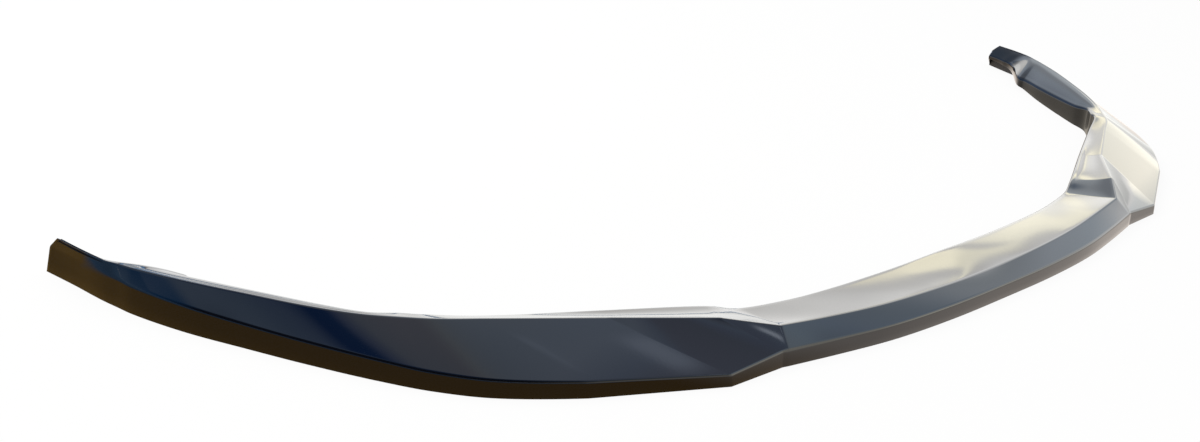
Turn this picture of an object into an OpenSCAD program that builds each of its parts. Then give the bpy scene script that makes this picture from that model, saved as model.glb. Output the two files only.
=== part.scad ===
// Front splitter lip: one moulded shell, wide in plan like a shallow U.
// X runs across the lip, -Y is the front, Z is up; the base sits on Z = 0.
// The lip is the same on both sides of X = 0 and is open underneath.

/* [Overall] */
// Width of the lip over the two arm tips
span = 1800; // [1400:10:2000]
// Length from the front edge to the arm tips
depth = 628; // [500:1:740]
// Height of the ridge half way along the arms, before its edge is rounded
height = 48.5; // [40:0.5:64]

/* [Moulding] */
// Thickness of the moulded wall
wall = 3; // [2:0.1:4]
// Inward lean of the upright front face over its height
face_lean = 1.5; // [0.5:0.1:3]
// Outward lean of the inner wall over its height
inner_lean = 2; // [0.5:0.1:4]
// Rounding where the upright face turns into the sloped face
lower_round = 3; // [2:0.5:7]
// Rounding of the ridge between the sloped face and the top
ridge_round = 2.5; // [1.5:0.5:6]
// Rounding of the inner edge
inner_round = 7; // [4:0.5:9]
// Crown of the widest part of the arm flange
arm_crown = 3; // [0:0.25:5]
// Hollow of the top surface where it climbs to the corner
corner_hollow = 2; // [0:0.25:3]

/* [Hidden] */
half = span / 2;

// Each station is one cut through the wall. The shares are parts of the
// half span (x), the depth (y) and the height (z). Stations 4 and 5 are close at
// the foot: between them the ridge climbs the fold to the corner.
// Stations 5 to 6 are the small facet, 6 to 7 the large corner panel.
foot_x_shares = [0, 0.118, 0.221, 0.306, 0.383, 0.39, 0.47, 0.618, 0.704, 0.749,
    0.786, 0.832, 0.876, 0.919, 0.952, 0.96, 0.968, 0.983, 1];
foot_y_shares = [0, 0.002, 0.012, 0.031, 0.052, 0.0545, 0.058, 0.155, 0.236, 0.3,
    0.369, 0.467, 0.569, 0.673, 0.773, 0.807, 0.841, 0.919, 1];
face_z_shares = [0.375, 0.375, 0.38, 0.385, 0.375, 0.38, 0.28, 0.375, 0.405, 0.43,
    0.47, 0.505, 0.545, 0.61, 0.665, 0.685, 0.685, 0.67, 0.62];
ridge_x_shares = [0, 0.122, 0.222, 0.307, 0.376, 0.434, 0.538, 0.663, 0.715, 0.744,
    0.775, 0.818, 0.863, 0.909, 0.944, 0.955, 0.963, 0.976, 0.989];
ridge_y_shares = [0.049, 0.05, 0.059, 0.074, 0.086, 0.145, 0.254, 0.347, 0.385, 0.419,
    0.458, 0.526, 0.611, 0.703, 0.784, 0.813, 0.834, 0.888, 0.967];
ridge_z_shares = [0.482, 0.533, 0.583, 0.65, 0.741, 0.884, 0.789, 0.893, 0.935, 0.93,
    0.935, 0.96, 0.985, 1, 1, 1, 1, 0.985, 0.96];
inner_x_shares = [0, 0.112, 0.224, 0.297, 0.364, 0.405, 0.522, 0.66, 0.716, 0.732,
    0.758, 0.777, 0.809, 0.847, 0.877, 0.887, 0.938, 0.961, 0.972];
inner_y_shares = [0.16, 0.161, 0.17, 0.182, 0.2, 0.222, 0.299, 0.387, 0.42, 0.442,
    0.474, 0.527, 0.605, 0.699, 0.771, 0.804, 0.868, 0.926, 0.984];
inner_z_shares = [0.436, 0.419, 0.403, 0.403, 0.446, 0.583, 0.639, 0.71, 0.853, 0.841,
    0.803, 0.687, 0.6, 0.536, 0.498, 0.496, 0.52, 0.527, 0.529];
// Height of the lower edge of the inner wall: it lifts towards the tip.
hem_z_shares = [0, 0, 0, 0, 0, 0, 0, 0, 0, 0, 0, 0, 0, 0.04, 0.12, 0.18, 0.26, 0.34, 0.38];
// Share of the full lean of the front face: the closed tip leans further in.
lean_shares = [1, 1, 1, 1, 1, 1, 1, 1, 1, 1, 1, 1, 1, 1, 1, 1, 1, 1.5, 4];
// Share of the full crown (above nought) or hollow (below nought).
crown_shares = [0, 0, 0, 0, -0.8, -1, -0.6, 0, 0, 0, 0.3, 0.7, 1, 1, 0.95, 0.9, 0.9, 0.75, 0.65];
// Share of the full inner rounding.
soft_shares = [0.6, 0.6, 0.6, 0.6, 0.6, 0.6, 0.6, 0.6, 0.6, 0.6, 0.7, 0.9, 1, 1, 1, 0.9, 0.75, 0.7, 0.7];

last = len(foot_x_shares) - 1;
// Stretches between stations that stay flat, and the cuts made in each stretch.
flat_from = 4;
flat_to = 7;
cuts_centre = 5;
cuts_flat = 3;
cuts_arm = 4;

function track(sx, sy, sz) = [for (i = [0 : last]) [half * sx[i], depth * sy[i], height * sz[i]]];
function zeros() = [for (i = [0 : last]) 0];

foot = track(foot_x_shares, foot_y_shares, zeros());
ridge = track(ridge_x_shares, ridge_y_shares, ridge_z_shares);
inner = track(inner_x_shares, inner_y_shares, inner_z_shares);
face_z = height * face_z_shares;
hem_z = height * hem_z_shares;
lean = face_lean * lean_shares;
crown = [for (s = crown_shares) s * (s < 0 ? corner_hollow : arm_crown)];
soft = inner_round * soft_shares;

// Length of the stretch that starts at station i, taken along the ridge.
function reach(i) = norm(ridge[i + 1] - ridge[i]);
// Slope of a track at station i, one sided next to a flat stretch.
function ahead(v, i) = (v[i + 1] - v[i]) / reach(i);
function behind(v, i) = (v[i] - v[i - 1]) / reach(i - 1);
function slope(v, i, mirror_zero, folded) =
    i == 0 ? mirror_zero :
    i == last || (folded && i == flat_from) ? behind(v, i) :
    (ahead(v, i) + behind(v, i)) / 2;
function eased(a, b, ma, mb, t) =
    (2 * pow(t, 3) - 3 * pow(t, 2) + 1) * a + (pow(t, 3) - 2 * pow(t, 2) + t) * ma
    + (3 * pow(t, 2) - 2 * pow(t, 3)) * b + (pow(t, 3) - pow(t, 2)) * mb;
// Value of a track at place u, where whole numbers are the stations. A folded
// track runs straight between the stations of the flat stretches.
function along(v, u, mirror_zero, folded) =
    let (i = min(floor(u), last - 1), t = u - i, step = reach(i))
    folded && i >= flat_from && i < flat_to ? v[i] + t * (v[i + 1] - v[i]) :
    eased(v[i], v[i + 1], step * slope(v, i, mirror_zero, folded), step * slope(v, i + 1, mirror_zero, folded), t);
function point_at(v, u, folded) = along(v, u, [ahead(v, 0)[0], 0, 0], folded);
function value_at(v, u, folded) = along(v, u, 0, folded);

// Two points inside a rounded corner, from a to c past b.
function bend(a, b, c) = [for (t = [0 : 1 / 3 : 1.01]) pow(1 - t, 2) * a + 2 * t * (1 - t) * b + pow(t, 2) * c];
function towards(a, b, size) = a + (b - a) * min(1 / 2, size / norm(b - a));

// One cut through the outside of the lip at place u.
function outside(u) =
    let (
        f = point_at(foot, u, true),
        r = point_at(ridge, u, true),
        n = point_at(inner, u, false),
        run = [n[0] - f[0], n[1] - f[1], 0] / norm([n[0] - f[0], n[1] - f[1]]),
        l = [f[0], f[1], value_at(face_z, u, true)] + value_at(lean, u, false) * run,
        h = [n[0], n[1], max(0, value_at(hem_z, u, false))] - inner_lean * run,
        s = value_at(soft, u, false),
        c = value_at(crown, u, false),
        e = bend(towards(n, r, s), n, towards(n, h, s)),
        k = bend(towards(r, l, ridge_round), r, towards(r, n, ridge_round))
    )
    concat(
        [f],
        bend(towards(l, f, lower_round), l, towards(l, r, lower_round)),
        k,
        [for (t = [1 / 4, 1 / 2, 3 / 4]) k[3] + t * (e[0] - k[3]) + [0, 0, 4 * c * t * (1 - t)]],
        e,
        [h]
    );

// The inner side of the same cut, one wall away from the outer side.
function inside(u) =
    let (
        o = outside(u),
        m = len(o) - 1,
        run = [o[m][0] - o[0][0], o[m][1] - o[0][1], 0] / norm([o[m][0] - o[0][0], o[m][1] - o[0][1]]),
        down = [0, 0, wall]
    )
    concat(
        [o[0] + wall * run, o[1] + wall * run - down / 2, o[4] + wall / 2 * run - down],
        [for (i = [6, 8, 9, 10, 11]) o[i] - down],
        [for (i = [12, 14]) o[i] - wall * run - down],
        [o[m] - wall * run]
    );

// Places of the cuts on one half, from the middle to the tip.
function cuts(i) = i < flat_from ? cuts_centre : i < flat_to ? cuts_flat : cuts_arm;
places = [for (i = [0 : last - 1]) for (j = [0 : cuts(i) - 1]) i + j / cuts(i)];
// The hollow stops one wall short of the tip.
hollow_end = last - wall / reach(last - 1);

function flip(p) = [-p[0], p[1], p[2]];
function both(half_rows) =
    concat(
        [for (i = [len(half_rows) - 1 : -1 : 1]) [for (p = half_rows[i]) flip(p)]],
        half_rows
    );

// Faces between neighbouring cuts, for points j to j + 1 of an open line.
function strip(m, n, first, turn) = [
    for (i = [0 : m - 2]) for (j = [0 : n - 2])
        let (a = first + i * n + j, b = a + 1, c = a + n, d = b + n)
        each turn ? [[a, d, b], [a, c, d]] : [[a, b, d], [a, d, c]]
];
// Faces between the two lines of points at a lower edge.
function rim(m, a0, a_step, b0, b_step, turn) = [
    for (i = [0 : m - 2])
        let (a = a0 + i * a_step, b = b0 + i * b_step, c = a + a_step, d = b + b_step)
        each turn ? [[a, d, b], [a, c, d]] : [[a, b, d], [a, d, c]]
];
// A closed end: triangles from the foot across one cut.
function cap(first, n, turn) = [
    for (j = [1 : n - 2]) turn ? [first, first + j + 1, first + j] : [first, first + j, first + j + 1]
];

// The whole moulding as one closed skin: outer side, inner side, the two
// lower edges and the closed tips.
module moulding(outer, under) {
    m = len(outer);
    n = len(outer[0]);
    k = len(under[0]);
    u0 = m * n;
    ends = [
        for (e = [0, m - 1])
            let (a = e * n, b = a + n - 1, c = u0 + e * k, d = c + k - 1)
            each e == 0 ? [[a, d, b], [a, c, d]] : [[a, b, d], [a, d, c]]
    ];
    polyhedron(
        points = concat([for (r = outer) each r], [for (r = under) each r]),
        faces = concat(
            strip(m, n, 0, false),
            strip(m, k, u0, true),
            rim(m, 0, n, u0, k, true),
            rim(m, n - 1, n, u0 + k - 1, k, false),
            cap(0, n, true),
            cap((m - 1) * n, n, false),
            cap(u0, k, false),
            cap(u0 + (m - 1) * k, k, true),
            ends
        ),
        convexity = 8
    );
}

module splitter_lip() {
    color("#17181b")
        translate([0, -depth / 2, 0])
            moulding(
                both([for (u = concat(places, [last])) outside(u)]),
                both([for (u = concat(places, [hollow_end])) inside(u)])
            );
}

splitter_lip();
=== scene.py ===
"""Front splitter lip: a one-piece gloss black moulding on a pale studio floor."""
import logging
import math
from dataclasses import dataclass, field
from enum import Enum

import bmesh
import bpy
from mathutils import Matrix, Vector


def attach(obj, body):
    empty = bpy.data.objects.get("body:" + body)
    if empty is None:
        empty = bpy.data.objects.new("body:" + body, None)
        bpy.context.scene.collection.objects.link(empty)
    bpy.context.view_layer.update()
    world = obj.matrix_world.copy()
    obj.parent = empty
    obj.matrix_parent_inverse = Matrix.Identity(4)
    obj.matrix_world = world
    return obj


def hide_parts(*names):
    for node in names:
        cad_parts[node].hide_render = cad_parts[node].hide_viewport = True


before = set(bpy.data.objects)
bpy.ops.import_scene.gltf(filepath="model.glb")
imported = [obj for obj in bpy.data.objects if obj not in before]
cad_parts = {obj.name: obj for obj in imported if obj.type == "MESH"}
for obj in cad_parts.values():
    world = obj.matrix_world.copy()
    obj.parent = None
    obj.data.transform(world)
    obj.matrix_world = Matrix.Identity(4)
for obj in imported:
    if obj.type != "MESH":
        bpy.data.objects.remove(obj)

log = logging.getLogger("splitter_lip")
MM = 0.001


class Side(Enum):
    """Which side of the wall a face belongs to, by the number of its material."""

    SHOW = 0
    UNDER = 1


def hex_linear(code: str) -> tuple[float, float, float, float]:
    """Turn an sRGB hex colour into the linear colour that a shader takes.

    Args:
        code: six hex digits, with or without a leading hash.

    Returns:
        Linear red, green, blue and an alpha of one.
    """
    code = code.lstrip("#")
    parts = [int(code[i:i + 2], 16) / 255 for i in (0, 2, 4)]
    linear = [c / 12.92 if c <= 0.04045 else ((c + 0.055) / 1.055) ** 2.4 for c in parts]
    return (linear[0], linear[1], linear[2], 1.0)


def add_node(tree: bpy.types.NodeTree, kind: str, settings: dict | None = None,
             inputs: dict | None = None, links: dict | None = None) -> bpy.types.Node:
    """Add one node with its settings, socket values and incoming links.

    Args:
        tree: the node tree that takes the node.
        kind: Blender's name of the node type.
        settings: properties of the node itself.
        inputs: socket name or index to a plain value.
        links: socket name or index to the output socket that feeds it.

    Returns:
        The new node.
    """
    node = tree.nodes.new(kind)
    for key, value in (settings or {}).items():
        setattr(node, key, value)
    for key, value in (inputs or {}).items():
        node.inputs[key].default_value = value
    for key, socket in (links or {}).items():
        tree.links.new(socket, node.inputs[key])
    return node


def new_tree(name: str) -> tuple[bpy.types.Material, bpy.types.NodeTree]:
    """Make an empty node material.

    Args:
        name: the material's name.

    Returns:
        The material and its emptied node tree.
    """
    material = bpy.data.materials.new(name)
    material.use_nodes = True
    material.node_tree.nodes.clear()
    return material, material.node_tree


@dataclass(frozen=True)
class GlossBlackPaint:
    """Black gloss paint, sprayed over moulded ABS.

    The film mirrors the room sharply. It has a faint orange peel a few
    millimetres across, and it settles a little unevenly, so the sharpness of
    the mirror drifts slowly over the panel.
    """

    colour: str = "#08080b"
    ior: float = 1.5
    roughness_low: float = 0.05
    roughness_high: float = 0.08
    drift_mm: float = 180.0
    drift_detail: float = 3.0
    drift_gain: float = 0.55
    drift_low: float = 0.3
    drift_high: float = 0.7
    peel_mm: float = 4.0
    peel_detail: float = 1.5
    peel_gain: float = 0.4
    peel_depth_mm: float = 0.004

    def material(self) -> bpy.types.Material:
        """Build the paint's material.

        Returns:
            The material of the show side.
        """
        material, tree = new_tree("gloss_black_paint_sprayed")
        where = add_node(tree, "ShaderNodeTexCoord").outputs["Object"]
        drift = add_node(tree, "ShaderNodeTexNoise",
                         inputs={"Scale": 1 / (self.drift_mm * MM), "Detail": self.drift_detail,
                                 "Roughness": self.drift_gain},
                         links={"Vector": where})
        rough = add_node(tree, "ShaderNodeMapRange",
                         inputs={"From Min": self.drift_low, "From Max": self.drift_high,
                                 "To Min": self.roughness_low, "To Max": self.roughness_high},
                         links={"Value": drift.outputs["Fac"]})
        peel = add_node(tree, "ShaderNodeTexNoise",
                        inputs={"Scale": 1 / (self.peel_mm * MM), "Detail": self.peel_detail,
                                "Roughness": self.peel_gain},
                        links={"Vector": where})
        bump = add_node(tree, "ShaderNodeBump",
                        inputs={"Strength": 1.0, "Distance": self.peel_depth_mm * MM},
                        links={"Height": peel.outputs["Fac"]})
        shader = add_node(tree, "ShaderNodeBsdfPrincipled",
                          inputs={"Base Color": hex_linear(self.colour), "IOR": self.ior},
                          links={"Roughness": rough.outputs["Result"],
                                 "Normal": bump.outputs["Normal"]})
        add_node(tree, "ShaderNodeOutputMaterial", links={"Surface": shader.outputs["BSDF"]})
        return material


@dataclass(frozen=True)
class RawMouldedPlastic:
    """Unpainted ABS on the hidden side, as it leaves the mould.

    The mould face is blasted, so the plastic has an even satin grain under a
    millimetre across, with slow flow bands where the melt cooled.
    """

    colour: str = "#17181a"
    band_colour: str = "#1d1e20"
    ior: float = 1.5
    roughness: float = 0.55
    band_mm: float = 60.0
    band_detail: float = 2.0
    grain_mm: float = 0.9
    grain_detail: float = 2.0
    grain_depth_mm: float = 0.05
    grain_strength: float = 0.6

    def material(self) -> bpy.types.Material:
        """Build the raw plastic's material.

        Returns:
            The material of the hidden side.
        """
        material, tree = new_tree("raw_black_abs_moulded")
        where = add_node(tree, "ShaderNodeTexCoord").outputs["Object"]
        band = add_node(tree, "ShaderNodeTexNoise",
                        inputs={"Scale": 1 / (self.band_mm * MM), "Detail": self.band_detail},
                        links={"Vector": where})
        colour = add_node(tree, "ShaderNodeMix", settings={"data_type": "RGBA"},
                          inputs={"A": hex_linear(self.colour), "B": hex_linear(self.band_colour)},
                          links={"Factor": band.outputs["Fac"]})
        grain = add_node(tree, "ShaderNodeTexNoise",
                         inputs={"Scale": 1 / (self.grain_mm * MM), "Detail": self.grain_detail},
                         links={"Vector": where})
        bump = add_node(tree, "ShaderNodeBump",
                        inputs={"Strength": self.grain_strength,
                                "Distance": self.grain_depth_mm * MM},
                        links={"Height": grain.outputs["Fac"]})
        shader = add_node(tree, "ShaderNodeBsdfPrincipled",
                          inputs={"Roughness": self.roughness, "IOR": self.ior},
                          links={"Base Color": colour.outputs["Result"],
                                 "Normal": bump.outputs["Normal"]})
        add_node(tree, "ShaderNodeOutputMaterial", links={"Surface": shader.outputs["BSDF"]})
        return material


@dataclass
class SplitterShell:
    """The one-piece lip: a thin shell lofted through cuts across its wall.

    Sizes are in millimetres and angles in degrees. The shape is the CAD part's,
    with more points, rounded folds and broken edges. Each table gives one share
    per station: of half the span (x), of the depth (y), of the height (z), or
    of the lean, the crown or hollow and the inner rounding.
    """

    node: str = "splitter_lip"
    span: float = 1800.0
    depth: float = 628.0
    height: float = 48.5
    wall: float = 3.0
    face_lean: float = 1.5
    inner_lean: float = 2.0
    lower_round: float = 3.0
    ridge_round: float = 2.5
    inner_round: float = 7.0
    arm_crown: float = 3.0
    corner_hollow: float = 2.0
    fold_round: float = 3.0
    edge_round: float = 0.5
    edge_segments: int = 2
    edge_angle: float = 50.0
    smooth_angle: float = 40.0
    bend_points: int = 9
    top_points: int = 11
    cuts: int = 12
    flat_from: int = 4
    flat_to: int = 7
    foot_x: tuple = (0, 0.118, 0.221, 0.306, 0.383, 0.39, 0.47, 0.618, 0.704, 0.749,
                     0.786, 0.832, 0.876, 0.919, 0.952, 0.96, 0.968, 0.983, 1)
    foot_y: tuple = (0, 0.002, 0.012, 0.031, 0.052, 0.0545, 0.058, 0.155, 0.236, 0.3,
                     0.369, 0.467, 0.569, 0.673, 0.773, 0.807, 0.841, 0.919, 1)
    face_z: tuple = (0.375, 0.375, 0.38, 0.385, 0.375, 0.38, 0.28, 0.375, 0.405, 0.43,
                     0.47, 0.505, 0.545, 0.61, 0.665, 0.685, 0.685, 0.67, 0.62)
    ridge_x: tuple = (0, 0.122, 0.222, 0.307, 0.376, 0.434, 0.538, 0.663, 0.715, 0.744,
                      0.775, 0.818, 0.863, 0.909, 0.944, 0.955, 0.963, 0.976, 0.989)
    ridge_y: tuple = (0.049, 0.05, 0.059, 0.074, 0.086, 0.145, 0.254, 0.347, 0.385, 0.419,
                      0.458, 0.526, 0.611, 0.703, 0.784, 0.813, 0.834, 0.888, 0.967)
    ridge_z: tuple = (0.482, 0.533, 0.583, 0.65, 0.741, 0.884, 0.789, 0.893, 0.935, 0.93,
                      0.935, 0.96, 0.985, 1, 1, 1, 1, 0.985, 0.96)
    inner_x: tuple = (0, 0.112, 0.224, 0.297, 0.364, 0.405, 0.522, 0.66, 0.716, 0.732,
                      0.758, 0.777, 0.809, 0.847, 0.877, 0.887, 0.938, 0.961, 0.972)
    inner_y: tuple = (0.16, 0.161, 0.17, 0.182, 0.2, 0.222, 0.299, 0.387, 0.42, 0.442,
                      0.474, 0.527, 0.605, 0.699, 0.771, 0.804, 0.868, 0.926, 0.984)
    inner_z: tuple = (0.436, 0.419, 0.403, 0.403, 0.446, 0.583, 0.639, 0.71, 0.853, 0.841,
                      0.803, 0.687, 0.6, 0.536, 0.498, 0.496, 0.52, 0.527, 0.529)
    hem_z: tuple = (0, 0, 0, 0, 0, 0, 0, 0, 0, 0,
                    0, 0, 0, 0.04, 0.12, 0.18, 0.26, 0.34, 0.38)
    lean: tuple = (1, 1, 1, 1, 1, 1, 1, 1, 1, 1, 1, 1, 1, 1, 1, 1, 1, 1.5, 4)
    crown: tuple = (0, 0, 0, 0, -0.8, -1, -0.6, 0, 0, 0,
                    0.3, 0.7, 1, 1, 0.95, 0.9, 0.9, 0.75, 0.65)
    soft: tuple = (0.6, 0.6, 0.6, 0.6, 0.6, 0.6, 0.6, 0.6, 0.6, 0.6,
                   0.7, 0.9, 1, 1, 1, 0.9, 0.75, 0.7, 0.7)
    last: int = field(init=False)
    foot: list = field(init=False)
    ridge: list = field(init=False)
    inner: list = field(init=False)
    reach: list = field(init=False)

    def __post_init__(self) -> None:
        """Work out the tracks of points that the cuts pass through, and their steps."""
        self.last = len(self.foot_x) - 1
        self.foot = self._track(self.foot_x, self.foot_y, (0,) * (self.last + 1))
        self.ridge = self._track(self.ridge_x, self.ridge_y, self.ridge_z)
        self.inner = self._track(self.inner_x, self.inner_y, self.inner_z)
        self.reach = [(b - a).length for a, b in zip(self.ridge, self.ridge[1:])]

    def _track(self, xs: tuple, ys: tuple, zs: tuple) -> list[Vector]:
        """Turn three rows of shares into points in millimetres."""
        return [Vector((self.span / 2 * x, self.depth * y, self.height * z))
                for x, y, z in zip(xs, ys, zs)]

    def _slope(self, values: list, i: int, at_middle: object, folded: bool) -> object:
        """Slope of a track at station i, one sided next to a flat stretch.

        Args:
            values: one value or point per station.
            i: the station.
            at_middle: slope of the track at the middle plane.
            folded: whether the track runs straight through the flat stretches.

        Returns:
            The slope per millimetre along the ridge.
        """
        if i == 0:
            return at_middle
        behind = (values[i] - values[i - 1]) / self.reach[i - 1]
        if i == self.last or (folded and i == self.flat_from):
            return behind
        return (behind + (values[i + 1] - values[i]) / self.reach[i]) / 2

    def _along(self, values: list, u: float, at_middle: object, folded: bool) -> object:
        """Value of a track at place u, where whole numbers are the stations.

        Args:
            values: one value or point per station.
            u: the place along the lip.
            at_middle: slope of the track at the middle plane.
            folded: whether the track runs straight through the flat stretches.

        Returns:
            The eased value or point.
        """
        i = min(int(u), self.last - 1)
        t = u - i
        a, b = values[i], values[i + 1]
        if folded and self.flat_from <= i < self.flat_to:
            return a + (b - a) * t
        ma = self._slope(values, i, at_middle, folded) * self.reach[i]
        mb = self._slope(values, i + 1, at_middle, folded) * self.reach[i]
        return (a * (2 * t**3 - 3 * t**2 + 1) + ma * (t**3 - 2 * t**2 + t)
                + b * (3 * t**2 - 2 * t**3) + mb * (t**3 - t**2))

    def _point(self, values: list, u: float, folded: bool = True) -> Vector:
        """Point of a track at place u."""
        flat = Vector(((values[1] - values[0])[0] / self.reach[0], 0, 0))
        return self._along(values, u, flat, folded)

    def _share(self, shares: tuple, u: float, folded: bool = False) -> float:
        """Value of a row of shares at place u."""
        return self._along(list(shares), u, 0.0, folded)

    def _bend(self, a: Vector, b: Vector, c: Vector) -> list[Vector]:
        """Points of a rounded corner from a to c past b."""
        steps = [k / (self.bend_points - 1) for k in range(self.bend_points)]
        return [a * (1 - t) ** 2 + b * 2 * t * (1 - t) + c * t**2 for t in steps]

    @staticmethod
    def _towards(a: Vector, b: Vector, size: float) -> Vector:
        """Point on the way from a to b, at most half way."""
        return a + (b - a) * min(0.5, size / (b - a).length)

    def cut(self, u: float) -> list[Vector]:
        """One cut through the outside of the lip.

        Args:
            u: the place along the half lip.

        Returns:
            Points from the foot over the ridge to the inner hem, in millimetres.
        """
        foot, ridge = self._point(self.foot, u), self._point(self.ridge, u)
        inner = self._point(self.inner, u, folded=False)
        run = Vector((inner.x - foot.x, inner.y - foot.y, 0)).normalized()
        knee = Vector((foot.x, foot.y, self.height * self._share(self.face_z, u, folded=True)))
        knee += run * self.face_lean * self._share(self.lean, u)
        hem = Vector((inner.x, inner.y, self.height * max(0.0, self._share(self.hem_z, u))))
        hem -= run * self.inner_lean
        soft = self.inner_round * self._share(self.soft, u)
        share = self._share(self.crown, u)
        crown = share * (self.corner_hollow if share < 0 else self.arm_crown)
        low = self._bend(self._towards(knee, foot, self.lower_round), knee,
                         self._towards(knee, ridge, self.lower_round))
        top = self._bend(self._towards(ridge, knee, self.ridge_round), ridge,
                         self._towards(ridge, inner, self.ridge_round))
        end = self._bend(self._towards(inner, ridge, soft), inner, self._towards(inner, hem, soft))
        steps = [k / (self.top_points + 1) for k in range(1, self.top_points + 1)]
        plane = [top[-1].lerp(end[0], t) + Vector((0, 0, 4 * crown * t * (1 - t))) for t in steps]
        wall = [end[-1].lerp(hem, t) for t in (0.5, 1.0)]
        face = [foot.lerp(low[0], t) for t in (0.0, 0.5)]
        return face + low + top + plane + end + wall

    def places(self) -> list[float]:
        """Find the places of the cuts on one half, closer together at the folds.

        Returns:
            Places in rising order, where whole numbers are the stations.
        """
        found = {round(i + j / self.cuts, 5) for i in range(self.last) for j in range(self.cuts)}
        found.add(float(self.last))
        for i in range(self.flat_from, self.flat_to):
            for step in (-1.0, 1.0):
                length = self.reach[i if step > 0 else i - 1]
                found.add(round(i + step * self.fold_round / length, 5))
        return sorted(found)

    def build(self) -> bpy.types.Object:
        """Make the shell from a grid, give it its wall and round its edges.

        Returns:
            The finished shell, in metres.
        """
        half = [self.cut(u) for u in self.places()]
        flipped = [[Vector((-p.x, p.y, p.z)) for p in row] for row in half[:0:-1]]
        rows = flipped + half
        columns = len(rows[0])
        bpy.ops.mesh.primitive_grid_add(x_subdivisions=columns - 1, y_subdivisions=len(rows) - 1,
                                        size=1.0, location=(0, 0, 0))
        piece = bpy.context.object
        piece.name = "splitter_lip_shell"
        offset = Vector((0, -self.depth / 2, 0))
        flat = [p for row in rows for p in row]
        if len(flat) != len(piece.data.vertices):
            raise ValueError(f"grid has {len(piece.data.vertices)} points, cuts have {len(flat)}")
        for vertex, point in zip(piece.data.vertices, flat):
            vertex.co = (point + offset) * MM
        self._close_tips(piece, columns, len(rows))
        self._give_wall(piece)
        return piece

    @staticmethod
    def _close_tips(piece: bpy.types.Object, columns: int, rows: int) -> None:
        """Fill the straight cut at each arm tip.

        Args:
            piece: the grid, shaped as the outside of the lip.
            columns: points in each cut.
            rows: number of cuts.
        """
        bpy.ops.object.mode_set(mode="EDIT")
        bpy.ops.mesh.select_mode(type="VERT")
        for first in (0, (rows - 1) * columns):
            bpy.ops.mesh.select_all(action="DESELECT")
            work = bmesh.from_edit_mesh(piece.data)
            work.verts.ensure_lookup_table()
            for k in range(columns):
                work.verts[first + k].select = True
            work.select_flush_mode()
            bmesh.update_edit_mesh(piece.data)
            bpy.ops.mesh.edge_face_add()
        bpy.ops.mesh.select_all(action="SELECT")
        bpy.ops.mesh.normals_make_consistent(inside=False)
        bpy.ops.object.mode_set(mode="OBJECT")

    def _give_wall(self, piece: bpy.types.Object) -> None:
        """Give the skin its wall inwards and break its sharp edges.

        Args:
            piece: the closed outside of the lip.
        """
        wall = piece.modifiers.new("wall", "SOLIDIFY")
        wall.thickness = self.wall * MM
        wall.offset = -1.0
        wall.use_even_offset = False
        wall.material_offset = Side.UNDER.value
        wall.material_offset_rim = Side.SHOW.value
        piece.data.materials.append(GlossBlackPaint().material())
        piece.data.materials.append(RawMouldedPlastic().material())
        bpy.ops.object.modifier_apply(modifier=wall.name)
        # The wall follows the lean of the faces, so its lower edge is cut level here.
        for vertex in piece.data.vertices:
            vertex.co.z = max(0.0, vertex.co.z)
        edge = piece.modifiers.new("edge", "BEVEL")
        edge.width = self.edge_round * MM
        edge.segments = self.edge_segments
        edge.limit_method = "ANGLE"
        edge.angle_limit = math.radians(self.edge_angle)
        edge.harden_normals = False
        bpy.ops.object.modifier_apply(modifier=edge.name)
        bpy.ops.object.shade_smooth_by_angle(angle=math.radians(self.smooth_angle))

    def dress(self, piece: bpy.types.Object) -> None:
        """Hide the CAD node that the shell stands for, and hang the shell under the root body.

        Args:
            piece: the finished shell.
        """
        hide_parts(self.node)
        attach(piece, "root")
        log.info("%s: %d faces", piece.name, len(piece.data.polygons))


# Brightest level that a ramp of light can hold: its colours are shares of this.
BAND_SCALE = 6.0
# Light of the room as the gloss paint mirrors it, from the floor up: the wall under
# the window, the window's frame, its panes, three heights of the room above them and
# three strips of light in the ceiling. A direction runs in degrees from -180 over 0
# (straight behind the lip, +Y) and 90 (to the right, +X) to 180. A light is a level
# for red, green and blue.
WALL_BANDS = (
    (23, (0.95, 1.0, 1.05)), (27, (1.6, 1.6, 1.62)), (31, (2.8, 2.8, 2.75)),
    (47, (2.65, 2.62, 2.56)), (51, (3.0, 2.97, 2.92)), (54, (3.7, 3.67, 3.6)),
    (56, (3.85, 3.8, 3.65)), (57.3, (3.8, 3.72, 3.4)), (57.6, (4.5, 4.3, 3.55)),
    (58.3, (4.8, 4.6, 3.75)), (58.5, (3.1, 3.05, 3.0)), (60, (3.1, 3.05, 3.0)),
    (68, (2.6, 2.6, 2.5)), (78, (1.9, 1.9, 1.85)), (104, (1.85, 1.9, 1.9)),
)
FRAME_LIGHT = (2.75, 2.72, 2.67)
PANE_BANDS = (
    (-180, (1.4, 1.35, 1.2)), (-150, (0.02, 0.02, 0.03)), (-86, (0.01, 0.02, 0.06)),
    (-77, (0.03, 0.25, 0.7)), (-70, (0.26, 0.48, 0.84)), (12, (0.40, 0.56, 0.90)),
    (23, (0.95, 1.0, 1.05)), (30, (2.2, 2.2, 2.2)), (42, (3.0, 2.95, 2.85)),
    (50, (3.9, 3.7, 3.0)), (54, (5.2, 4.9, 3.9)), (57.4, (5.5, 5.2, 4.1)),
    (57.8, (4.4, 4.2, 3.4)), (58.1, (4.5, 4.3, 3.5)), (58.35, (4.8, 4.6, 3.75)),
    (58.55, (2.5, 2.47, 2.42)), (58.9, (2.8, 2.77, 2.72)), (62, (3.8, 3.75, 3.7)),
    (66, (3.3, 3.3, 3.2)), (72, (3.9, 3.8, 3.35)), (77, (4.5, 4.3, 3.75)),
    (79.5, (2.6, 2.65, 2.6)), (90, (2.6, 2.7, 2.75)), (98, (3.1, 3.15, 3.2)),
    (120, (3.0, 3.0, 2.8)), (134, (3.8, 3.7, 3.2)), (150, (2.6, 2.5, 2.2)),
    (180, (1.4, 1.35, 1.2)),
)
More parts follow.
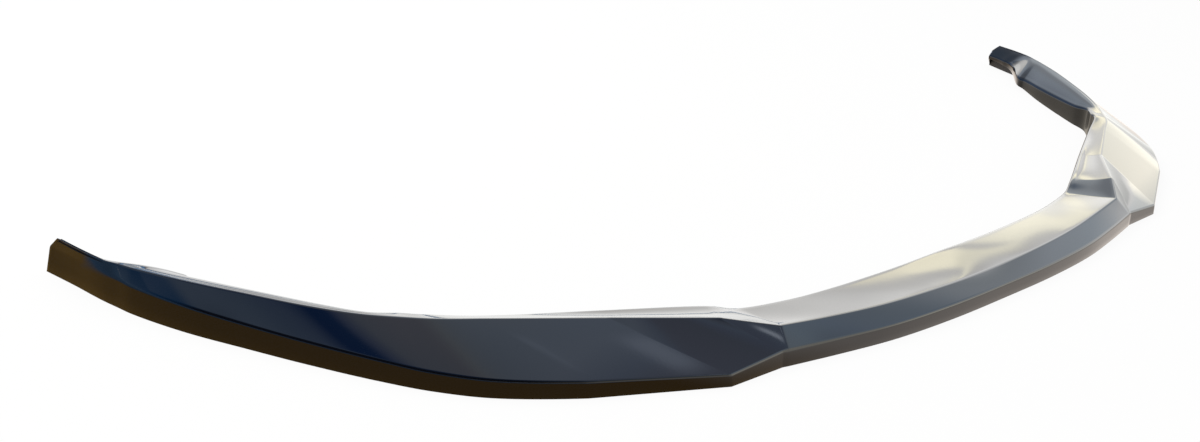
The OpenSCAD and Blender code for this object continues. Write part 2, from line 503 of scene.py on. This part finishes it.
UPPER_BANDS = (
    (-180, (0.6, 0.7, 0.8)), (-150, (0.01, 0.02, 0.03)), (-84, (0.01, 0.03, 0.08)),
    (-77, (0.05, 0.30, 0.8)), (-72, (0.48, 0.68, 1.02)), (-30, (0.50, 0.68, 0.96)),
    (0, (0.55, 0.66, 0.84)), (26, (1.5, 1.7, 2.0)), (34, (1.45, 1.65, 1.9)),
    (42, (1.2, 1.3, 1.45)), (49, (1.8, 1.95, 2.1)), (56, (1.8, 1.95, 2.1)),
    (57.5, (2.6, 2.65, 2.7)), (58.8, (3.8, 3.8, 3.75)), (62, (4.1, 4.1, 4.1)),
    (67, (3.2, 3.25, 3.3)), (71, (1.5, 1.65, 1.8)), (79, (1.95, 2.15, 2.4)),
    (86, (2.0, 2.25, 2.5)), (97, (3.0, 3.1, 3.2)), (112, (2.4, 2.6, 2.8)),
    (140, (2.2, 2.3, 2.3)), (156, (2.4, 2.4, 2.2)), (180, (0.6, 0.7, 0.8)),
)
HIGH_BANDS = (
    (-180, (0.3, 0.4, 0.5)), (-150, (0.01, 0.02, 0.03)), (-86, (0.01, 0.04, 0.12)),
    (-79, (0.48, 0.68, 1.02)), (-30, (0.50, 0.68, 0.96)), (0, (0.55, 0.66, 0.84)),
    (28, (0.84, 0.96, 1.16)), (50, (0.80, 0.98, 1.28)), (66, (0.80, 0.98, 1.28)),
    (74, (1.2, 1.4, 1.65)), (82, (1.15, 1.4, 1.7)), (96, (1.25, 1.58, 2.05)),
    (121, (1.5, 1.9, 2.35)), (140, (1.6, 1.9, 2.2)), (160, (1.2, 1.4, 1.6)),
    (180, (0.3, 0.4, 0.5)),
)
CEILING_BANDS = (
    (-180, (0.15, 0.25, 0.45)), (-150, (0.03, 0.08, 0.22)), (-84, (0.03, 0.10, 0.28)),
    (-77, (0.42, 0.62, 0.95)), (-66, (0.30, 0.46, 0.82)), (-57, (0.01, 0.12, 0.48)),
    (-44, (0.02, 0.14, 0.50)), (-36, (0.30, 0.42, 0.78)), (-20, (0.64, 0.74, 0.95)),
    (10, (0.74, 0.78, 0.95)), (30, (0.88, 0.98, 1.12)), (44, (0.80, 0.98, 1.26)),
    (54, (0.88, 1.06, 1.38)), (61, (0.66, 0.82, 1.14)), (70, (0.60, 0.68, 0.92)),
    (110, (0.60, 0.70, 0.94)), (134, (0.64, 0.78, 1.12)), (152, (0.72, 0.92, 1.3)),
    (166, (0.66, 0.78, 1.05)), (180, (0.15, 0.25, 0.45)),
)
# Share of a ramp for each direction. A ramp keeps 256 values, so the narrow
# directions of the window take more of it than the rest of the room.
ROUND_SHARES = ((-180, 0.0), (45, 0.3), (65, 0.7), (180, 1.0))
# Height of the panes' lower edge, as the sine of its angle over the floor. Where it
# is 0 there is no wall and no frame under the panes.
SILL_BANDS = (
    (24, 0.0), (28, 0.24), (40, 0.24), (50.2, 0.292), (52, 0.309), (53.5, 0.3195),
    (55.5, 0.3305), (58.2, 0.351), (58.4, 0.0), (64, 0.0), (72, 0.19), (77, 0.185),
    (80, 0.21), (100, 0.10), (104, 0.0),
)
# Heights over which one light fades into the next, as the sine of the angle over the
# floor. The first two are counted from the panes' lower edge.
FRAME_FADE = (-0.036, -0.015)
PANE_FADE = (-0.003, 0.003)
UPPER_FADE = (0.362, 0.40)
HIGH_FADE = (0.545, 0.66)
CEILING_FADE = (0.735, 0.84)
# Light of the floor as the gloss paint mirrors it, by distance out from the middle of
# the bay that the lip encloses. The lip stands at 1, and a ramp ends at the reach.
FLOOR_REACH = 2.0
FLOOR_LEFT = (
    (0.0, (2.2, 2.2, 2.15)), (0.55, (2.2, 2.2, 2.15)), (0.80, (1.3, 1.3, 1.3)),
    (0.955, (1.1, 1.1, 1.1)), (0.975, (0.42, 0.25, 0.07)), (1.105, (0.42, 0.25, 0.07)),
    (1.125, (0.12, 0.25, 0.46)), (1.4, (0.20, 0.42, 0.76)), (2.0, (0.22, 0.46, 0.82)),
)
# On the right, the dimmer ring from 0.70 to 0.95 inside the bay is painted shade: the lip's shadow
# on the floor, as the far arm's inner wall mirrors it.
FLOOR_RIGHT = (
    (0.0, (1.9, 1.9, 1.85)), (0.70, (0.67, 0.61, 0.52)), (0.95, (0.67, 0.61, 0.52)),
    (0.97, (1.45, 1.31, 1.20)), (1.2, (1.5, 1.4, 1.3)), (2.0, (1.85, 1.85, 1.8)),
)


def round_share(direction: float) -> float:
    """Place of a direction round the room on a ramp.

    Args:
        direction: degrees from -180 to 180.

    Returns:
        The place, from 0 to 1.
    """
    for (a, low), (b, high) in zip(ROUND_SHARES, ROUND_SHARES[1:]):
        if direction <= b:
            return low + (direction - a) / (b - a) * (high - low)
    return 1.0


def band_colour(light: tuple) -> tuple[float, ...]:
    """Colour that holds a light level per channel, as shares of BAND_SCALE."""
    return (*(level / BAND_SCALE for level in light), 1.0)


def lay_stops(tree: bpy.types.NodeTree, source: bpy.types.NodeSocket,
              places: list) -> bpy.types.NodeSocket:
    """Lay lights along a ramp, one stop for each place.

    Args:
        tree: the node tree that takes the ramp.
        source: the value that runs along the ramp.
        places: pairs of a place from 0 to 1 and a light level per colour.

    Returns:
        The socket that gives the light, as a share of BAND_SCALE.
    """
    node = add_node(tree, "ShaderNodeValToRGB", links={"Fac": source})
    elements = node.color_ramp.elements
    while len(elements) < len(places):
        elements.new(0.5)
    for element, (place, light) in zip(elements, places):
        element.position = place
        element.color = band_colour(light)
    return node.outputs["Color"]


@dataclass(frozen=True)
class StripLight:
    """A soft strip of light in the ceiling, seen from the lip.

    The centre and the end are a direction and an angle over the floor, and they
    and the half width are in degrees. The light is full up to one share of the
    half size and gone at the other.
    """

    centre: tuple
    end: tuple
    half_width: float
    light: tuple
    full: float = 0.4
    gone: float = 1.4

    @staticmethod
    def way(direction: float, angle: float) -> Vector:
        """Turn a direction and an angle over the floor into a vector.

        Args:
            direction: degrees round the room.
            angle: degrees over the floor.

        Returns:
            The unit vector that points there.
        """
        turn, rise = math.radians(direction), math.radians(angle)
        return Vector((math.cos(rise) * math.sin(turn), math.cos(rise) * math.cos(turn),
                       math.sin(rise)))

    def share(self, tree: bpy.types.NodeTree,
              seen: bpy.types.NodeSocket) -> bpy.types.NodeSocket:
        """Add the nodes that tell how much of the strip a direction shows.

        Args:
            tree: the world's node tree.
            seen: the direction that is looked in.

        Returns:
            The socket that runs from 0 beside the strip to 1 on it.
        """
        middle, end = self.way(*self.centre), self.way(*self.end)
        across = middle.cross(end).normalized()
        along = across.cross(middle)
        half_width = math.sin(math.radians(self.half_width))
        half_length = end.dot(along)
        parts = []
        for axis, half in ((across, half_width), (along, half_length)):
            dot = add_node(tree, "ShaderNodeVectorMath", settings={"operation": "DOT_PRODUCT"},
                           inputs={1: axis}, links={0: seen})
            off = add_node(tree, "ShaderNodeMath", settings={"operation": "ABSOLUTE"},
                           links={0: dot.outputs["Value"]})
            part = add_node(tree, "ShaderNodeMapRange",
                            settings={"interpolation_type": "SMOOTHSTEP"},
                            inputs={"From Min": half * self.gone, "From Max": half * self.full},
                            links={"Value": off.outputs[0]})
            parts.append(part.outputs["Result"])
        both = add_node(tree, "ShaderNodeMath", settings={"operation": "MULTIPLY"},
                        links={0: parts[0], 1: parts[1]})
        return both.outputs[0]


STRIP_LIGHTS = (
    StripLight((60.9, 55.5), (66.5, 57.2), 0.75, (1.3, 1.52, 1.95)),
    StripLight((50.5, 57.5), (55.0, 59.5), 1.0, (1.0, 1.2, 1.55)),
    StripLight((149.5, 61.9), (153.5, 58.6), 0.9, (3.2, 3.6, 4.3)),
)


@dataclass(frozen=True)
class Room:
    """The room round the lip: white to the camera, banded light in the gloss paint."""

    plain_colour: str = "#f4f6fa"
    plain_strength: float = 0.75

    @staticmethod
    def round_place(tree: bpy.types.NodeTree, across: bpy.types.NodeSocket,
                    back: bpy.types.NodeSocket) -> bpy.types.NodeSocket:
        """Add the nodes that turn a direction into its place on a ramp.

        Args:
            tree: the world's node tree.
            across: X of the direction that is looked in.
            back: Y of the direction that is looked in.

        Returns:
            The socket that gives the place, as round_share does.
        """
        turn = add_node(tree, "ShaderNodeMath", settings={"operation": "ARCTAN2"},
                        links={0: across, 1: back})
        parts = []
        for first, last in zip(ROUND_SHARES, ROUND_SHARES[1:]):
            part = add_node(tree, "ShaderNodeMapRange",
                            inputs={"From Min": math.radians(first[0]),
                                    "From Max": math.radians(last[0]),
                                    "To Max": last[1] - first[1]},
                            links={"Value": turn.outputs[0]})
            parts.append(part.outputs["Result"])
        share = parts[0]
        for part in parts[1:]:
            total = add_node(tree, "ShaderNodeMath", settings={"operation": "ADD"},
                             links={0: share, 1: part})
            share = total.outputs[0]
        return share

    @staticmethod
    def bands(tree: bpy.types.NodeTree, place: bpy.types.NodeSocket,
              table: tuple) -> bpy.types.NodeSocket:
        """Light of a table of bands, each with its direction in degrees."""
        return lay_stops(tree, place, [(round_share(d), light) for d, light in table])

    @staticmethod
    def fade(tree: bpy.types.NodeTree, height: bpy.types.NodeSocket, heights: tuple,
             under: bpy.types.NodeSocket,
             above: bpy.types.NodeSocket | tuple) -> bpy.types.NodeSocket:
        """Fade from one light to the next as the height grows.

        Args:
            tree: the world's node tree.
            height: the height that decides.
            heights: where the lower light begins to fade and where it is gone.
            under: the lower light.
            above: the upper light, as a socket or as a plain colour.

        Returns:
            The mixed light.
        """
        factor = add_node(tree, "ShaderNodeMapRange", settings={"interpolation_type": "SMOOTHSTEP"},
                          inputs={"From Min": heights[0], "From Max": heights[1]},
                          links={"Value": height})
        inputs = {}
        links = {"Factor": factor.outputs["Result"], "A": under}
        if isinstance(above, tuple):
            inputs["B"] = above
        else:
            links["B"] = above
        mixed = add_node(tree, "ShaderNodeMix", settings={"data_type": "RGBA"},
                         inputs=inputs, links=links)
        return mixed.outputs["Result"]

    def mirrored(self, tree: bpy.types.NodeTree) -> bpy.types.NodeSocket:
        """Add the nodes of the banded light that the gloss paint mirrors.

        Args:
            tree: the world's node tree.

        Returns:
            The socket that gives the light, as a share of BAND_SCALE.
        """
        way = add_node(tree, "ShaderNodeTexCoord").outputs["Generated"]
        split = add_node(tree, "ShaderNodeSeparateXYZ", links={0: way})
        height = split.outputs["Z"]
        place = self.round_place(tree, split.outputs["X"], split.outputs["Y"])
        sill = self.bands(tree, place, tuple((d, (z, z, z)) for d, z in SILL_BANDS))
        over = add_node(tree, "ShaderNodeMath", settings={"operation": "MULTIPLY_ADD"},
                        inputs={1: -BAND_SCALE}, links={0: sill, 2: height})
        light = self.bands(tree, place, WALL_BANDS)
        light = self.fade(tree, over.outputs[0], FRAME_FADE, light, band_colour(FRAME_LIGHT))
        light = self.fade(tree, over.outputs[0], PANE_FADE, light,
                          self.bands(tree, place, PANE_BANDS))
        for heights, table in ((UPPER_FADE, UPPER_BANDS), (HIGH_FADE, HIGH_BANDS),
                               (CEILING_FADE, CEILING_BANDS)):
            light = self.fade(tree, height, heights, light, self.bands(tree, place, table))
        for strip in STRIP_LIGHTS:
            mixed = add_node(tree, "ShaderNodeMix", settings={"data_type": "RGBA"},
                             inputs={"B": band_colour(strip.light)},
                             links={"Factor": strip.share(tree, way), "A": light})
            light = mixed.outputs["Result"]
        return light

    def light(self) -> None:
        """Light the world: pale windows on the right, a dark room on the left."""
        world = bpy.data.worlds.new("studio")
        bpy.context.scene.world = world
        world.use_nodes = True
        tree = world.node_tree
        tree.nodes.clear()
        path = add_node(tree, "ShaderNodeLightPath")
        mirror = add_node(tree, "ShaderNodeBackground", inputs={"Strength": BAND_SCALE},
                          links={"Color": self.mirrored(tree)})
        plain = add_node(tree, "ShaderNodeBackground",
                         inputs={"Color": hex_linear(self.plain_colour),
                                 "Strength": self.plain_strength})
        white = add_node(tree, "ShaderNodeBackground",
                         inputs={"Color": hex_linear("#ffffff"), "Strength": 1.0})
        lit = add_node(tree, "ShaderNodeMixShader",
                       links={0: path.outputs["Is Glossy Ray"], 1: plain.outputs[0],
                              2: mirror.outputs[0]})
        seen = add_node(tree, "ShaderNodeMixShader",
                        links={0: path.outputs["Is Camera Ray"], 1: lit.outputs[0],
                               2: white.outputs[0]})
        add_node(tree, "ShaderNodeOutputWorld", links={"Surface": seen.outputs[0]})


@dataclass(frozen=True)
class PaperFloor:
    """The pale floor under the lip, in metres.

    The camera sees it almost white, with the rest left for the lip's shadow. The
    gloss paint mirrors rings of light round the bay that the lip encloses. They
    stand a little closer in beside the rear half of the arms, short of the tips.
    The rings of the left side fade into those of the right beyond a line that
    runs aslant over the floor.
    """

    size: float = 40.0
    colour: str = "#f2f1ee"
    white_share: float = 0.93
    bay_centre: tuple = (0.0, 0.314, 0.0)
    bay_size: tuple = (0.888, 0.648, 1.0)
    shift: float = 0.062
    shift_starts: tuple = (0.10, 0.28)
    shift_ends: tuple = (0.295, 0.34)
    side_line: tuple = (1.0, -2.0, 0.0)
    side_fade: tuple = (0.05, 0.45)

    def distance(self, tree: bpy.types.NodeTree,
                 where: bpy.types.NodeSocket) -> bpy.types.NodeSocket:
        """Add the nodes that measure how far out a point of the floor is.

        Args:
            tree: the floor's node tree.
            where: the point of the floor.

        Returns:
            The socket that gives the distance, as a share of FLOOR_REACH.
        """
        bay = add_node(tree, "ShaderNodeMapping", settings={"vector_type": "TEXTURE"},
                       inputs={"Location": self.bay_centre, "Scale": self.bay_size},
                       links={"Vector": where})
        out = add_node(tree, "ShaderNodeVectorMath", settings={"operation": "LENGTH"},
                       links={0: bay.outputs["Vector"]})
        split = add_node(tree, "ShaderNodeSeparateXYZ", links={0: where})
        ring = out.outputs["Value"]
        for (low, high), change in ((self.shift_starts, self.shift),
                                    (self.shift_ends, -self.shift)):
            step = add_node(tree, "ShaderNodeMapRange",
                            settings={"interpolation_type": "SMOOTHSTEP"},
                            inputs={"From Min": low, "From Max": high, "To Max": change},
                            links={"Value": split.outputs["Y"]})
            total = add_node(tree, "ShaderNodeMath", settings={"operation": "ADD"},
                             links={0: ring, 1: step.outputs["Result"]})
            ring = total.outputs[0]
        share = add_node(tree, "ShaderNodeMath", settings={"operation": "DIVIDE"},
                         inputs={1: FLOOR_REACH}, links={0: ring})
        return share.outputs[0]

    def mirrored(self, tree: bpy.types.NodeTree) -> bpy.types.NodeSocket:
        """Add the nodes of the rings of light that the gloss paint mirrors.

        Args:
            tree: the floor's node tree.

        Returns:
            The socket that gives the light, as a share of BAND_SCALE.
        """
        where = add_node(tree, "ShaderNodeTexCoord").outputs["Object"]
        distance = self.distance(tree, where)
        left, right = (lay_stops(tree, distance, [(r / FLOOR_REACH, light) for r, light in rings])
                       for rings in (FLOOR_LEFT, FLOOR_RIGHT))
        away = add_node(tree, "ShaderNodeVectorMath", settings={"operation": "DOT_PRODUCT"},
                        inputs={1: self.side_line}, links={0: where})
        side = add_node(tree, "ShaderNodeMapRange", settings={"interpolation_type": "SMOOTHSTEP"},
                        inputs={"From Min": self.side_fade[0], "From Max": self.side_fade[1]},
                        links={"Value": away.outputs["Value"]})
        tint = add_node(tree, "ShaderNodeMix", settings={"data_type": "RGBA"},
                        links={"Factor": side.outputs["Result"], "A": left, "B": right})
        return tint.outputs["Result"]

    def lay(self) -> None:
        """Lay the floor and give it its material."""
        bpy.ops.mesh.primitive_plane_add(size=self.size, location=(0, 0, 0))
        plane = bpy.context.object
        plane.name = "floor"
        material, tree = new_tree("pale_paper_floor")
        path = add_node(tree, "ShaderNodeLightPath")
        paper = add_node(tree, "ShaderNodeBsdfDiffuse", inputs={"Color": hex_linear(self.colour)})
        white = add_node(tree, "ShaderNodeEmission",
                         inputs={"Color": hex_linear("#ffffff"), "Strength": 1.0})
        share = add_node(tree, "ShaderNodeMath", settings={"operation": "MULTIPLY"},
                         inputs={1: self.white_share}, links={0: path.outputs["Is Camera Ray"]})
        seen = add_node(tree, "ShaderNodeMixShader",
                        links={0: share.outputs[0], 1: paper.outputs[0], 2: white.outputs[0]})
        rings = add_node(tree, "ShaderNodeEmission", inputs={"Strength": BAND_SCALE},
                         links={"Color": self.mirrored(tree)})
        mixed = add_node(tree, "ShaderNodeMixShader",
                         links={0: path.outputs["Is Glossy Ray"], 1: seen.outputs[0],
                                2: rings.outputs[0]})
        add_node(tree, "ShaderNodeOutputMaterial", links={"Surface": mixed.outputs[0]})
        plane.data.materials.append(material)


@dataclass(frozen=True)
class StudioCamera:
    """The camera at the photograph's place and angle, in metres and radians."""

    place: tuple = (-1.19804, -0.96453, 0.61818)
    yaw: float = 0.70462
    pitch: float = 0.36761
    roll: float = 0.07008
    focal_px: float = 1188.28
    shift_px: float = -53.915
    frame_px: float = 1200.0
    sensor_mm: float = 36.0
    clip_end: float = 200.0

    def stand(self) -> None:
        """Stand the camera where the photograph was taken from."""
        ahead = Vector((math.sin(self.yaw) * math.cos(self.pitch),
                        math.cos(self.yaw) * math.cos(self.pitch), -math.sin(self.pitch)))
        right = Vector((math.cos(self.yaw), -math.sin(self.yaw), 0))
        up = right.cross(ahead)
        c, s = math.cos(self.roll), math.sin(self.roll)
        right, up = right * c + up * s, up * c - right * s
        data = bpy.data.cameras.new("camera")
        data.sensor_width = self.sensor_mm
        data.lens = self.focal_px / self.frame_px * self.sensor_mm
        data.shift_y = self.shift_px / self.frame_px
        data.clip_end = self.clip_end
        eye = bpy.data.objects.new("camera", data)
        bpy.context.scene.collection.objects.link(eye)
        turn = Matrix((right, up, -ahead)).transposed().to_4x4()
        eye.matrix_world = Matrix.Translation(Vector(self.place)) @ turn
        bpy.context.scene.camera = eye


@dataclass(frozen=True)
class Softbox:
    """One large soft lamp over the lip, in metres and watts."""

    width: float = 3.0
    depth: float = 2.0
    power: float = 60.0
    colour: tuple = (1.0, 0.98, 0.95)
    place: tuple = (-1.0, 1.5, 2.6)

    def hang(self) -> None:
        """Hang the lamp, aimed at the lip and out of the gloss paint's mirror."""
        data = bpy.data.lights.new("softbox", "AREA")
        data.shape = "RECTANGLE"
        data.size = self.width
        data.size_y = self.depth
        data.energy = self.power
        data.color = self.colour
        box = bpy.data.objects.new("softbox", data)
        bpy.context.scene.collection.objects.link(box)
        box.location = self.place
        box.rotation_euler = (-box.location).to_track_quat("-Z", "Y").to_euler()
        box.visible_glossy = False


def main() -> None:
    """Build the lip and its studio."""
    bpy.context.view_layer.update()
    bpy.ops.object.select_all(action="DESELECT")
    shell = SplitterShell()
    piece = shell.build()
    shell.dress(piece)
    StudioCamera().stand()
    PaperFloor().lay()
    Room().light()
    Softbox().hang()
    bpy.context.scene.view_settings.view_transform = "Standard"


if __name__ == "__main__":
    logging.basicConfig(level=logging.INFO)
    main()
